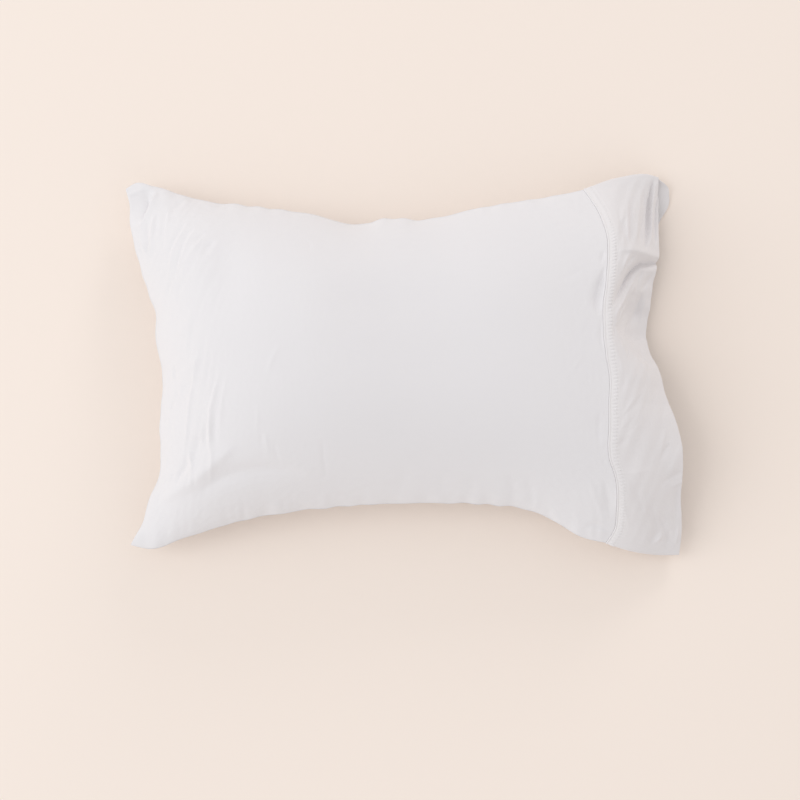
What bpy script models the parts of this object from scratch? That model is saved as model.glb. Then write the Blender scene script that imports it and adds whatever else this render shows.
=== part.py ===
"""A standard pillowcase, filled with its pillow and lying on its back.

The closed end is at -X, the mouth at +X, and the face points up. Sizes are in metres.
Two pieces: the case body, full of its pillow, and the hollow cuff sewn round the mouth.
Both are worked out from the sewn outline seen from above, the crown of the pillow, and
short tables of the main folds.
"""

from collections import namedtuple

import bmesh
import bpy
import numpy as np
from mathutils import Matrix

for old in list(bpy.data.objects):
    bpy.data.objects.remove(old)
parts = bpy.data.collections.new("filled_pillowcase")
bpy.context.scene.collection.children.link(parts)

# Cloth and seams.
CLOTH = 0.0012           # the cuff's cloth, turned in double
SEAM_EDGE = 0.0032       # the closed side seams, all layers together
GAP = 0.0003             # between the body and the cuff
CUFF_DEPTH = 0.100       # from the cuff's seam to the mouth, along the cloth

# The pillow inside.
FACE_CROWN = 0.079       # the face's rise above the side seams
BACK_CROWN = 0.118       # the back's drop below them, before the floor flattens it
PILLOW_END = 0.030       # how far the pillow's end bulges into the cuff
END_INSET = 0.012        # how far inside the cuff's seam that bulge starts
OVER_END = 0.22          # how much the cuff's face side arches before it falls to the mouth
FULLEST = 0.46           # where the crown is highest, as a share of the body's length
END_SLOPE = 0.40         # the share of the crown that is gone at the cuff's seam
FLAT_TOP = 2.6           # the crown's power: higher keeps more of the top level
END_POWER = 2.2          # likewise for its slope towards the cuff
PLUMPNESS = 0.85         # below 1 the crown rises more steeply from the seams
FLOOR_TURN = 0.004       # how softly the cloth turns up from the floor

# Grid lines.
BODY_LINES = 44
ACROSS_LINES = 32
END_LEVELS = (-1, -0.85, -0.6, -0.3, 0, 0.3, 0.6, 0.85, 1)   # from the back's seam to the face's

# The cuff from its seam to the mouth: a raised tuck, the stitched band beside it, then plain cloth.
CuffRow = namedtuple("CuffRow", "distance raised")
CUFF_ROWS = (
    CuffRow(0.0, 0.0010),
    CuffRow(0.0014, 0.0018),
    CuffRow(0.0030, 0.0007),
    CuffRow(0.0085, 0.0007),
    CuffRow(0.0098, 0.0),
    CuffRow(0.0210, 0.0),
    CuffRow(0.0340, 0.0),
    CuffRow(0.0475, 0.0),
    CuffRow(0.0610, 0.0),
    CuffRow(0.0745, 0.0),
    CuffRow(0.0875, 0.0),
    CuffRow(CUFF_DEPTH, 0.0),
)

EdgePoint = namedtuple("EdgePoint", "x y z")

# The long side at +Y, from the closed end's corner to the mouth's.
TOP_EDGE = (
    EdgePoint(-0.378, 0.239, 0.036),
    EdgePoint(-0.366, 0.246, 0.037),
    EdgePoint(-0.340, 0.241, 0.040),
    EdgePoint(-0.277, 0.220, 0.050),
    EdgePoint(-0.215, 0.211, 0.058),
    EdgePoint(-0.125, 0.198, 0.062),
    EdgePoint(-0.058, 0.184, 0.063),
    EdgePoint(-0.030, 0.191, 0.063),
    EdgePoint(0.036, 0.191, 0.063),
    EdgePoint(0.072, 0.200, 0.062),
    EdgePoint(0.130, 0.212, 0.060),
    EdgePoint(0.190, 0.222, 0.056),
    EdgePoint(0.243, 0.234, 0.050),
    EdgePoint(0.294, 0.250, 0.038),
    EdgePoint(0.335, 0.259, 0.026),
    EdgePoint(0.348, 0.257, 0.022),
)

# The long side at -Y, likewise.
BOTTOM_EDGE = (
    EdgePoint(-0.364, -0.243, 0.034),
    EdgePoint(-0.340, -0.248, 0.037),
    EdgePoint(-0.300, -0.236, 0.045),
    EdgePoint(-0.220, -0.212, 0.056),
    EdgePoint(-0.100, -0.194, 0.062),
    EdgePoint(0.030, -0.188, 0.063),
    EdgePoint(0.110, -0.190, 0.062),
    EdgePoint(0.168, -0.198, 0.059),
    EdgePoint(0.207, -0.216, 0.055),
    EdgePoint(0.232, -0.231, 0.052),
    EdgePoint(0.268, -0.240, 0.047),
    EdgePoint(0.310, -0.249, 0.034),
    EdgePoint(0.345, -0.254, 0.022),
    EdgePoint(0.369, -0.255, 0.017),
)

# The closed end, from the -Y corner to the +Y corner.
CLOSED_END = (
    EdgePoint(-0.364, -0.243, 0.034),
    EdgePoint(-0.350, -0.218, 0.038),
    EdgePoint(-0.338, -0.183, 0.046),
    EdgePoint(-0.325, -0.150, 0.053),
    EdgePoint(-0.324, -0.087, 0.060),
    EdgePoint(-0.322, -0.010, 0.062),
    EdgePoint(-0.330, 0.024, 0.062),
    EdgePoint(-0.331, 0.059, 0.060),
    EdgePoint(-0.347, 0.108, 0.057),
    EdgePoint(-0.362, 0.157, 0.051),
    EdgePoint(-0.370, 0.190, 0.045),
    EdgePoint(-0.372, 0.218, 0.039),
    EdgePoint(-0.378, 0.239, 0.036),
)

# The cuff's seam across the face, and its height above the floor.
FACE_SEAM = (
    EdgePoint(0.268, -0.240, 0.0486),
    EdgePoint(0.283, -0.211, 0.066),
    EdgePoint(0.283, -0.180, 0.086),
    EdgePoint(0.269, -0.137, 0.103),
    EdgePoint(0.266, -0.093, 0.112),
    EdgePoint(0.266, -0.029, 0.117),
    EdgePoint(0.266, 0.007, 0.117),
    EdgePoint(0.262, 0.041, 0.115),
    EdgePoint(0.262, 0.073, 0.111),
    EdgePoint(0.272, 0.109, 0.105),
    EdgePoint(0.275, 0.145, 0.096),
    EdgePoint(0.270, 0.178, 0.084),
    EdgePoint(0.259, 0.207, 0.068),
    EdgePoint(0.243, 0.234, 0.0516),
)

# The same seam across the back, which lies on the floor.
BACK_SEAM = (
    EdgePoint(0.268, -0.240, 0.0454),
    EdgePoint(0.276, -0.226, 0.037),
    EdgePoint(0.274, -0.205, 0.024),
    EdgePoint(0.261, -0.160, 0.005),
    EdgePoint(0.254, -0.120, 0.0),
    EdgePoint(0.250, 0.000, 0.0),
    EdgePoint(0.249, 0.120, 0.0),
    EdgePoint(0.248, 0.165, 0.006),
    EdgePoint(0.252, 0.205, 0.026),
    EdgePoint(0.251, 0.221, 0.038),
    EdgePoint(0.243, 0.234, 0.0484),
)

# The mouth's edge on the face side: it droops over the pillow's end and flares again.
FACE_MOUTH = (
    EdgePoint(0.369, -0.255, 0.0186),
    EdgePoint(0.371, -0.223, 0.031),
    EdgePoint(0.368, -0.180, 0.046),
    EdgePoint(0.369, -0.135, 0.058),
    EdgePoint(0.366, -0.103, 0.060),
    EdgePoint(0.357, -0.070, 0.054),
    EdgePoint(0.349, -0.046, 0.047),
    EdgePoint(0.342, -0.010, 0.040),
    EdgePoint(0.332, 0.012, 0.036),
    EdgePoint(0.330, 0.037, 0.033),
    EdgePoint(0.335, 0.074, 0.030),
    EdgePoint(0.340, 0.112, 0.027),
    EdgePoint(0.347, 0.146, 0.024),
    EdgePoint(0.348, 0.179, 0.019),
    EdgePoint(0.348, 0.228, 0.020),
    EdgePoint(0.348, 0.257, 0.0236),
)

# The mouth's edge on the floor side. It shows past the face's edge at the +Y corner only.
BACK_MOUTH = (
    EdgePoint(0.369, -0.255, 0.0154),
    EdgePoint(0.364, -0.235, 0.008),
    EdgePoint(0.358, -0.200, 0.001),
    EdgePoint(0.352, -0.140, 0.0),
    EdgePoint(0.341, -0.070, 0.0),
    EdgePoint(0.327, 0.000, 0.0),
    EdgePoint(0.322, 0.050, 0.0),
    EdgePoint(0.330, 0.110, 0.0),
    EdgePoint(0.341, 0.165, 0.0),
    EdgePoint(0.351, 0.200, 0.001),
    EdgePoint(0.361, 0.218, 0.003),
    EdgePoint(0.364, 0.236, 0.006),
    EdgePoint(0.361, 0.250, 0.012),
    EdgePoint(0.348, 0.257, 0.0204),
)

# Main folds, as soft troughs (negative rise) and ridges along a straight run.
Fold = namedtuple("Fold", "x0 y0 x1 y1 width rise")
BODY_FOLDS = (
    Fold(-0.372, 0.215, -0.335, 0.245, 0.010, -0.006),   # the closed end's corner, pinched
    Fold(-0.352, 0.190, -0.318, 0.236, 0.012, 0.006),
    Fold(-0.330, 0.150, -0.285, 0.222, 0.014, -0.004),
    Fold(-0.335, -0.180, -0.285, -0.130, 0.018, 0.007),  # the lower closed corner
    Fold(-0.300, -0.190, -0.255, -0.105, 0.020, -0.008),
    Fold(-0.300, -0.040, -0.318, 0.010, 0.014, -0.005),  # slack along the closed end
    Fold(-0.290, 0.000, -0.305, 0.060, 0.016, 0.004),
    Fold(0.252, 0.020, 0.250, 0.150, 0.014, -0.007),     # the hollow beside the seam
    Fold(0.210, -0.110, 0.262, -0.215, 0.014, -0.006),   # drag lines to the lower corner
    Fold(0.228, -0.090, 0.276, -0.190, 0.012, 0.004),
)
CUFF_FOLDS = (
    Fold(0.333, 0.240, 0.334, 0.165, 0.009, -0.009),     # two upright folds at the +Y corner
    Fold(0.318, 0.230, 0.322, 0.165, 0.009, 0.005),
    Fold(0.300, 0.128, 0.346, 0.138, 0.012, 0.008),      # the cross fold below them
    Fold(0.300, 0.105, 0.346, 0.113, 0.012, -0.008),
    Fold(0.282, 0.078, 0.312, 0.140, 0.010, -0.005),
    Fold(0.345, -0.100, 0.368, -0.160, 0.010, -0.005),   # the flare at the -Y half
    Fold(0.325, -0.195, 0.350, -0.225, 0.012, -0.004),
)


def smooth(points, given, wanted, at):
    """A smooth curve through a table's rows: cubic pieces, each row's slope taken from its neighbours."""
    x = np.array([getattr(point, given) for point in points])
    y = np.array([getattr(point, wanted) for point in points])
    slope = np.gradient(y, x)
    piece = np.clip(np.searchsorted(x, at) - 1, 0, len(x) - 2)
    width = x[piece + 1] - x[piece]
    f = np.clip((at - x[piece]) / width, 0, 1)
    return (
        (1 + 2 * f) * (1 - f) ** 2 * y[piece]
        + f * (1 - f) ** 2 * width * slope[piece]
        + f * f * (3 - 2 * f) * y[piece + 1]
        + f * f * (f - 1) * width * slope[piece + 1]
    )


def along_x(points, x_start, x_end, u):
    """Points of a long edge between two stations, for u from 0 to 1."""
    x = x_start + (x_end - x_start) * u
    return np.stack([x, smooth(points, "x", "y", x), smooth(points, "x", "z", x)], -1)


def across_y(points, v):
    """Points of an edge that runs across, for v from -1 at its -Y end to 1, never below the floor."""
    y = points[0].y + (points[-1].y - points[0].y) * (v + 1) / 2
    height = np.maximum(smooth(points, "y", "z", y), 0)
    return np.stack([smooth(points, "y", "x", y), y, height], -1)


def spanned(start, end, bottom, top, u, v):
    """A patch between four edges: the two rulings added, less the flat patch of the corners."""
    w = (v + 1) / 2
    u, w = u[..., None], w[..., None]
    corners = (
        start[0, 0] * (1 - u) * (1 - w)
        + end[0, 0] * u * (1 - w)
        + start[-1, -1] * (1 - u) * w
        + end[-1, -1] * u * w
    )
    return start * (1 - u) + end * u + bottom * (1 - w) + top * w - corners


def folds_at(folds, x, y):
    """The rise of all folds at a place: each a bell across its run, fading out at its ends."""
    rise = np.zeros_like(x)
    for fold in folds:
        run = np.array([fold.x1 - fold.x0, fold.y1 - fold.y0])
        length = np.hypot(*run)
        run = run / length
        along = ((x - fold.x0) * run[0] + (y - fold.y0) * run[1]) / length
        aside = (y - fold.y0) * run[0] - (x - fold.x0) * run[1]
        fade = np.exp(-np.clip(np.abs(along - 0.5) - 0.3, 0, None) ** 2 / 0.03)
        rise += fold.rise * fade * np.exp(-((aside / fold.width) ** 2))
    return rise


def crown(u, v):
    """The pillow's fullness: 1 at its highest, 0 at the closed end and along both long sides."""
    closing = (1 - np.clip((FULLEST - u) / FULLEST, 0, 1) ** FLAT_TOP) ** PLUMPNESS
    mouthward = 1 - END_SLOPE * np.clip((u - FULLEST) / (1 - FULLEST), 0, 1) ** END_POWER
    across = (1 - np.abs(v) ** FLAT_TOP) ** PLUMPNESS
    return closing * mouthward * across


def on_floor(height):
    """Heights pressed flat by the floor: none below it, and a soft turn of the cloth just above it."""
    turn = np.clip(height + FLOOR_TURN, 0, 2 * FLOOR_TURN) ** 2 / (4 * FLOOR_TURN)
    return np.where(height > FLOOR_TURN, height, turn)


def body_surface(u, v, side):
    """The case body's cloth: face (side 1) or back (side -1), u from closed end to seam, v across."""
    closed = across_y(CLOSED_END, v)
    seam = across_y(FACE_SEAM if side > 0 else BACK_SEAM, v)
    bottom = along_x(BOTTOM_EDGE, CLOSED_END[0].x, FACE_SEAM[0].x, u)
    top = along_x(TOP_EDGE, CLOSED_END[-1].x, FACE_SEAM[-1].x, u)
    for edge in (closed, bottom, top):
        edge[..., 2] += side * SEAM_EDGE / 2
    height = FACE_CROWN if side > 0 else -BACK_CROWN
    # The crown's own height at the seam is taken off first, so that the seam keeps its table's height.
    seam[..., 2] -= height * crown(np.ones_like(v), v)
    place = spanned(closed, seam, bottom, top, u, v)
    full = crown(u, v)
    place[..., 2] += height * full
    if side > 0:
        edgewise = full ** 0.25 * (1 - u ** 16)
        place[..., 2] += folds_at(BODY_FOLDS, place[..., 0], place[..., 1]) * edgewise
    else:
        place[:-1, :, 2] = on_floor(place[:-1, :, 2])
    return place


def cuff_surface(t, v, side):
    """The cuff's outer cloth: face (side 1) or floor (side -1), t from the seam to the mouth, v across."""
    seam = across_y(FACE_SEAM if side > 0 else BACK_SEAM, v)
    mouth = across_y(FACE_MOUTH if side > 0 else BACK_MOUTH, v)
    bottom = along_x(BOTTOM_EDGE, FACE_SEAM[0].x, FACE_MOUTH[0].x, t)
    top = along_x(TOP_EDGE, FACE_SEAM[-1].x, FACE_MOUTH[-1].x, t)
    for edge in (bottom, top):
        edge[..., 2] += side * SEAM_EDGE / 2
    place = spanned(seam, mouth, bottom, top, t, v)
    if side > 0:
        # Over the pillow's end the cloth leaves the seam gently and falls faster towards the mouth.
        inside = (1 - np.abs(v) ** 6) * np.sin(np.pi * np.clip(t, 0, 0.5))
        fall = seam[..., 2] - mouth[..., 2]
        place[..., 2] += OVER_END * fall * np.sin(np.pi * t)
        place[..., 2] += folds_at(CUFF_FOLDS, place[..., 0], place[..., 1]) * inside
    place[..., 2] = np.maximum(place[..., 2], 0)
    return place


def pillow_end(face, back, v, level):
    """The rounded end inside the cuff, between the two seam rows; level is -1 at the back, 1 at the face."""
    # At the two sewn sides the end closes up to the single edge of the side's own strip.
    share = np.where(np.abs(v) < 1, (level + 1) / 2, level > 0)[..., None]
    place = back * (1 - share) + face * share
    half = (face[..., 2] - back[..., 2]) / 2
    # The bulge starts inside the cuff's cloth, and none is left where the layers close up.
    room = np.maximum(half - END_INSET, 0)
    inset = np.clip(np.abs(level) * half / np.maximum(room, 1e-6), 0, 1)
    place[..., 0] += PILLOW_END * (1 - inset ** 2) ** 1.2 * (room / half)
    return place


def unit(vectors):
    """The same directions, each of length 1."""
    return vectors / np.linalg.norm(vectors, axis=-1, keepdims=True)


def outward(sleeve):
    """Unit normals of a sleeve's grid, whose second line number runs round it and back to its start."""
    along = np.gradient(sleeve, axis=0)
    round_it = np.roll(sleeve, -1, axis=1) - np.roll(sleeve, 1, axis=1)
    normal = np.cross(along, round_it)
    # At the seam the cloth's edge lies along the body's end, so that the two stay a gap apart:
    # it is turned in towards the other layer and, at the sewn sides, along the seam as well.
    seam = sleeve[0]
    inward = unit(seam[::-1] - seam)
    half = len(seam) // 2
    sides, beside = [0, half - 1, half, -1], [1, half - 2, half + 1, -2]
    inward[sides] += unit(seam[beside] - seam[sides])
    normal[0] = -inward
    return unit(normal)


def add_patch(bm, places):
    """One of Blender's own grids, with its points moved to an array of places."""
    rows, columns = places.shape[:2]
    grid = bmesh.ops.create_grid(bm, x_segments=rows - 1, y_segments=columns - 1, size=1.0)
    for vert in grid["verts"]:
        row = round((vert.co.x + 1) / 2 * (rows - 1))
        column = round((vert.co.y + 1) / 2 * (columns - 1))
        vert.co = places[row, column]


def add_strip(bm, low, high):
    """A strip of faces between two rows of points."""
    add_patch(bm, np.stack([low, high], axis=1))


def finished(name, bm, colour):
    """The welded mesh as an object with its cotton material."""
    bmesh.ops.remove_doubles(bm, verts=bm.verts, dist=2e-6)
    bmesh.ops.recalc_face_normals(bm, faces=bm.faces)
    mesh = bpy.data.meshes.new(name)
    bm.to_mesh(mesh)
    bm.free()
    mesh.shade_smooth()
    mesh.set_sharp_from_angle(angle=np.radians(50))
    cotton = bpy.data.materials.new(name + "_cotton")
    cotton.use_nodes = True
    shader = cotton.node_tree.nodes["Principled BSDF"]
    shader.inputs["Base Color"].default_value = (*colour, 1)
    shader.inputs["Roughness"].default_value = 0.85
    shader.inputs["Metallic"].default_value = 0.0
    mesh.materials.append(cotton)
    piece = bpy.data.objects.new(name, mesh)
    parts.objects.link(piece)


def eased(count):
    """Line numbers from -1 to 1, closer together towards both ends."""
    even = np.linspace(-1, 1, count + 1)
    return (even + np.sin(even * np.pi / 2)) / 2


def make_case_body():
    """Face, back, the three sewn edges and the pillow's end, welded into one filled solid."""
    u, v = np.meshgrid((eased(BODY_LINES) + 1) / 2, eased(ACROSS_LINES), indexing="ij")
    face = body_surface(u, v, 1)
    back = body_surface(u, v, -1)
    level, v_end = np.meshgrid(END_LEVELS, v[0], indexing="ij")
    bm = bmesh.new()
    add_patch(bm, face)
    add_patch(bm, back)
    add_strip(bm, back[:, 0], face[:, 0])
    add_strip(bm, back[:, -1], face[:, -1])
    add_strip(bm, back[0], face[0])
    add_patch(bm, pillow_end(face[-1], back[-1], v_end, level))
    finished("case_body", bm, (0.92, 0.91, 0.92))


def make_cuff():
    """The sleeve's outer cloth, its lining side a cloth's thickness in, and the two open edges."""
    distance = np.array([row.distance for row in CUFF_ROWS])
    raised = np.array([row.raised for row in CUFF_ROWS])
    t, v = np.meshgrid(distance / CUFF_DEPTH, eased(ACROSS_LINES), indexing="ij")
    face = cuff_surface(t, v, 1)
    back = cuff_surface(t, v, -1)
    sleeve = np.concatenate([face, back[:, ::-1]], axis=1)
    sleeve[..., 0] += GAP * (1 - distance[:, None] / CUFF_DEPTH)
    normal = outward(sleeve)
    outer = sleeve + normal * raised[:, None, None]
    outer[..., 2] = np.maximum(outer[..., 2], 0)
    inner = sleeve - normal * CLOTH
    outer, inner = (np.concatenate([side, side[:, :1]], axis=1) for side in (outer, inner))
    bm = bmesh.new()
    add_patch(bm, outer)
    add_patch(bm, inner)
    add_strip(bm, inner[0], outer[0])
    add_strip(bm, inner[-1], outer[-1])
    finished("cuff", bm, (0.88, 0.85, 0.85))


def centre_outline():
    """Moves both meshes together, so that the middle of the outline seen from above is the origin."""
    places = np.array([vert.co for piece in parts.objects for vert in piece.data.vertices])
    middle = (places.min(axis=0) + places.max(axis=0)) / 2
    for piece in parts.objects:
        piece.data.transform(Matrix.Translation((-middle[0], -middle[1], 0)))


make_case_body()
make_cuff()
centre_outline()
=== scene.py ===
"""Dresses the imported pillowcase: white cotton filled with its pillow, with a deep open cuff.

The script follows the case as it is put together: the filled body, the cuff sewn round its
mouth, the thread of that seam, and last the floor, the lights and the camera. Sizes are in
metres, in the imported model's frame: +X runs from the closed end to the mouth, +Z out of the face.
"""

import bmesh
import bpy
import numpy as np
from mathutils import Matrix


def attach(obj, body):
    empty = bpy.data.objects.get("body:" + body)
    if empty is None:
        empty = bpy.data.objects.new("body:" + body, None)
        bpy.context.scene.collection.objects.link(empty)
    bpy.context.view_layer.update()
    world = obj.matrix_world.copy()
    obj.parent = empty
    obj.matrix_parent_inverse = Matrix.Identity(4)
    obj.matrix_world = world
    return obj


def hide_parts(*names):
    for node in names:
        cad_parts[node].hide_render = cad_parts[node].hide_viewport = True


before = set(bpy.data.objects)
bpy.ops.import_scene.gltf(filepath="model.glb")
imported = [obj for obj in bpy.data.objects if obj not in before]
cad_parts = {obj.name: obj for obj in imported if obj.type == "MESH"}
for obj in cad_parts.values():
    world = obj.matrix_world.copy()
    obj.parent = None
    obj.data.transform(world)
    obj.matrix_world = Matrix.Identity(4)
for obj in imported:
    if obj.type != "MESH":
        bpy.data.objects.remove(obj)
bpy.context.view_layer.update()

# ----------------------------------------------------------------------
# Case body
# One length of white cotton percale, folded at the closed end and sewn along both long sides,
# over a soft pillow that fills it. The fullness draws the sewn sides in and leaves the corners
# slack; the cloth creases where it is slack and is drawn tight over the middle of the face.
# ----------------------------------------------------------------------

# The sewn outline, as points x, y, z measured from a mark near the middle of the face.
MARK = np.array([0.0035, -0.0020, 0.0])
TOP_EDGE = MARK + [
    (-0.378, 0.239, 0.036), (-0.366, 0.246, 0.037), (-0.340, 0.241, 0.040), (-0.277, 0.220, 0.050),
    (-0.215, 0.211, 0.058), (-0.125, 0.198, 0.062), (-0.058, 0.184, 0.063), (-0.030, 0.191, 0.063),
    (0.036, 0.191, 0.063), (0.072, 0.200, 0.062), (0.130, 0.212, 0.060), (0.190, 0.222, 0.056),
    (0.243, 0.234, 0.050), (0.294, 0.250, 0.038), (0.335, 0.259, 0.026), (0.348, 0.257, 0.022),
]
BOTTOM_EDGE = MARK + [
    (-0.364, -0.243, 0.034), (-0.340, -0.248, 0.037), (-0.300, -0.236, 0.045), (-0.220, -0.212, 0.056),
    (-0.100, -0.194, 0.062), (0.030, -0.188, 0.063), (0.110, -0.190, 0.062), (0.168, -0.198, 0.059),
    (0.207, -0.216, 0.055), (0.232, -0.231, 0.052), (0.268, -0.240, 0.047), (0.310, -0.249, 0.034),
    (0.345, -0.254, 0.022), (0.369, -0.255, 0.017),
]
CLOSED_END = MARK + [
    (-0.364, -0.243, 0.034), (-0.350, -0.218, 0.038), (-0.338, -0.183, 0.046), (-0.325, -0.150, 0.053),
    (-0.324, -0.087, 0.060), (-0.322, -0.010, 0.062), (-0.330, 0.024, 0.062), (-0.331, 0.059, 0.060),
    (-0.347, 0.108, 0.057), (-0.362, 0.157, 0.051), (-0.370, 0.190, 0.045), (-0.372, 0.218, 0.039),
    (-0.378, 0.239, 0.036),
]
# The cuff's seam, across the face and across the back.
FACE_SEAM = MARK + [
    (0.268, -0.240, 0.0486), (0.274, -0.231, 0.0542), (0.278, -0.222, 0.0598), (0.279, -0.213, 0.0658),
    (0.279, -0.201, 0.0737), (0.279, -0.188, 0.0822), (0.278, -0.173, 0.0904), (0.276, -0.160, 0.0954),
    (0.272, -0.147, 0.0998), (0.268, -0.137, 0.1031), (0.266, -0.128, 0.1057), (0.265, -0.115, 0.1086),
    (0.266, -0.094, 0.112), (0.266, -0.060, 0.1156), (0.267, -0.029, 0.117), (0.265, -0.013, 0.1174),
    (0.263, -0.003, 0.1178), (0.262, 0.009, 0.1178), (0.260, 0.025, 0.1169), (0.260, 0.041, 0.1154),
    (0.260, 0.057, 0.1134), (0.261, 0.074, 0.1111), (0.264, 0.091, 0.1089), (0.266, 0.109, 0.1061),
    (0.268, 0.127, 0.1021), (0.269, 0.144, 0.0973), (0.269, 0.162, 0.0915), (0.266, 0.178, 0.0849),
    (0.262, 0.193, 0.0767), (0.257, 0.207, 0.0683), (0.250, 0.221, 0.0596), (0.243, 0.234, 0.0516),
]
BACK_SEAM = MARK + [
    (0.268, -0.240, 0.0454), (0.276, -0.226, 0.037), (0.274, -0.205, 0.024), (0.261, -0.160, 0.005),
    (0.254, -0.120, 0.0), (0.250, 0.000, 0.0), (0.249, 0.120, 0.0), (0.248, 0.165, 0.006),
    (0.252, 0.205, 0.026), (0.251, 0.221, 0.038), (0.243, 0.234, 0.0484),
]

BODY_LENGTH = 0.660      # flat, from the closed end to the cuff's seam
HALF_WIDTH = 0.255       # flat, from the middle to a sewn side
SEAM_EDGE = 0.0032       # both layers and the turned-in edges, at a sewn side
EDGE_BULGE = 0.0015      # how far that edge stands out, rounded
SEAM_SINK = 0.0006       # how deep its stitches draw it in along the middle
FACE_CROWN = 0.082       # the face's rise above the sewn sides
BACK_CROWN = 0.118       # the back's drop below them, before the floor flattens it
FULLEST = 0.34           # where the crown is highest, as a share of the body's length
END_SLOPE = 0.41         # the share of the crown that is gone at the cuff's seam
FLAT_TOP = 2.6           # the crown's power across: higher keeps more of the top level
END_ROUND = 3.0          # its power towards the closed end, which rises faster
END_BEND = 0.12          # how softly its slope towards the cuff begins
PLUMPNESS = 0.85         # below 1 the crown rises more steeply from the seams
FLOOR_TURN = 0.004       # how softly the cloth turns up from the floor
STITCH_HOLD = 0.0022     # how near its stitches the cloth lies still
PILLOW_END = 0.030       # how far the pillow's end bulges into the cuff
END_INSET = 0.012        # how far inside the cuff's seam that bulge starts
END_SEAM = 0.0016        # the ridge of the pillow's own seam across it
END_HEIGHT = 0.10        # its cloth from the back's seam to the face's, laid flat

CALM_SHARE = 0.12        # an outline's calm course is blurred over this share of its length
BODY_REACH = (0.05, 0.07)    # how far its wiggles reach in, as shares of the length and the width
LENGTH_LINES, ACROSS_LINES = 262, 176
EDGE_LEVELS = np.array([-1, -0.6, -0.12, 0.12, 0.6, 1])    # round a sewn edge, back to face


def hermite(x, y, at):
    """A smooth curve through points: cubic pieces, each point's slope taken from its neighbours."""
    slope = np.gradient(y, x)
    piece = np.clip(np.searchsorted(x, at) - 1, 0, len(x) - 2)
    width = x[piece + 1] - x[piece]
    f = np.clip((at - x[piece]) / width, 0, 1)
    return (
        (1 + 2 * f) * (1 - f) ** 2 * y[piece]
        + f * (1 - f) ** 2 * width * slope[piece]
        + f * f * (3 - 2 * f) * y[piece + 1]
        + f * f * (f - 1) * width * slope[piece + 1]
    )


def along_x(table, start, end, u):
    """Points of a long side between two stations along x, for u from 0 to 1."""
    x = start + (end - start) * u
    return np.stack([x, hermite(table[:, 0], table[:, 1], x), hermite(table[:, 0], table[:, 2], x)], -1)


def across_y(table, v):
    """Points of an edge that runs across, for v from -1 at its -Y end to 1, never below the floor."""
    y = table[0, 1] + (table[-1, 1] - table[0, 1]) * (v + 1) / 2
    height = np.maximum(hermite(table[:, 1], table[:, 2], y), 0)
    return np.stack([hermite(table[:, 1], table[:, 0], y), y, height], -1)


def bell(x, width, power=2):
    """1 at 0, falling off with the distance to either side: exp(-(x / width)^power)."""
    return np.exp(-((x / width) ** power))


def read_at(at, knots, line):
    """The points of a line at given places along it, straight between its own."""
    return np.stack([np.interp(at, knots, line[:, k]) for k in range(3)], -1)


def split_wiggles(line, at):
    """A line of points as its calm course and the wiggles on it, which add up to it again.

    The calm course is the line blurred over CALM_SHARE of its length, with both its ends kept.
    """
    even = np.linspace(at[0], at[-1], 401)
    points = read_at(even, at, line)
    straight = points[0] + (points[-1] - points[0]) * np.linspace(0, 1, 401)[:, None]
    # Turned over at both ends, the line's distance from a straight one stays zero there.
    bent = points - straight
    mirrored = np.concatenate([-bent[:0:-1], bent, -bent[-2::-1]])
    blur = bell(np.arange(-400, 401), CALM_SHARE * 400)
    calm = np.stack([np.convolve(mirrored[:, k], blur / blur.sum(), "same") for k in range(3)], -1)
    calm = calm[400:801] + straight
    calm = read_at(at, even, calm)
    return calm, line - calm


def spanned(start, end, bottom, top, u, v, reach):
    """A patch between four edges: the two rulings added, less the flat patch of the corners.

    Each edge's calm course spans the whole patch; its wiggles fade out over a reach, in shares of
    u and of v, so that they leave no ridge across the cloth.
    """
    w = (v + 1) / 2
    (start, start_off), (end, end_off) = (split_wiggles(line, v) for line in (start, end))
    (bottom, bottom_off), (top, top_off) = (
        [part[:, None] for part in split_wiggles(line, u)] for line in (bottom, top)
    )
    u, w = u[:, None, None], w[None, :, None]
    corners = start[0] * (1 - u) * (1 - w) + end[0] * u * (1 - w)
    corners = corners + start[-1] * (1 - u) * w + end[-1] * u * w
    place = start * (1 - u) + end * u + bottom * (1 - w) + top * w - corners
    place += start_off * (1 - u) * np.exp(-u / reach[0]) + end_off * u * np.exp((u - 1) / reach[0])
    return place + bottom_off * (1 - w) * np.exp(-w / reach[1]) + top_off * w * np.exp((w - 1) / reach[1])


def unit(vectors):
    """The same directions, each of length 1."""
    return vectors / np.maximum(np.linalg.norm(vectors, axis=-1, keepdims=True), 1e-12)


def crossed(along, across):
    """Two sets of lines as the two coordinates of their grid."""
    return np.meshgrid(along, across, indexing="ij")


def from_sides(v):
    """How far the cloth is from its nearer sewn side, laid flat."""
    return (1 - np.abs(v)) * HALF_WIDTH


def above_floor(places):
    """Lifts to the floor what lies below it."""
    places[..., 2] = np.maximum(places[..., 2], 0)


def level_out(line):
    """Level unit vectors at right angles to a line of points."""
    along = np.gradient(line, axis=0)
    return unit(np.stack([-along[:, 1], along[:, 0], np.zeros(len(along))], -1))


def facing(places):
    """Unit normals of a grid: its two directions crossed."""
    return unit(np.cross(np.gradient(places, axis=0), np.gradient(places, axis=1)))


def graded(count, *stops):
    """Line places from the first stop to the last, closer where a stop's second number is higher."""
    where, density = np.array(stops, float).T
    fine = np.linspace(where[0], where[-1], 4001)
    reach = np.cumsum(np.interp(fine, where, density))
    return np.interp(np.linspace(reach[0], reach[-1], count + 1), reach, fine)


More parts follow.
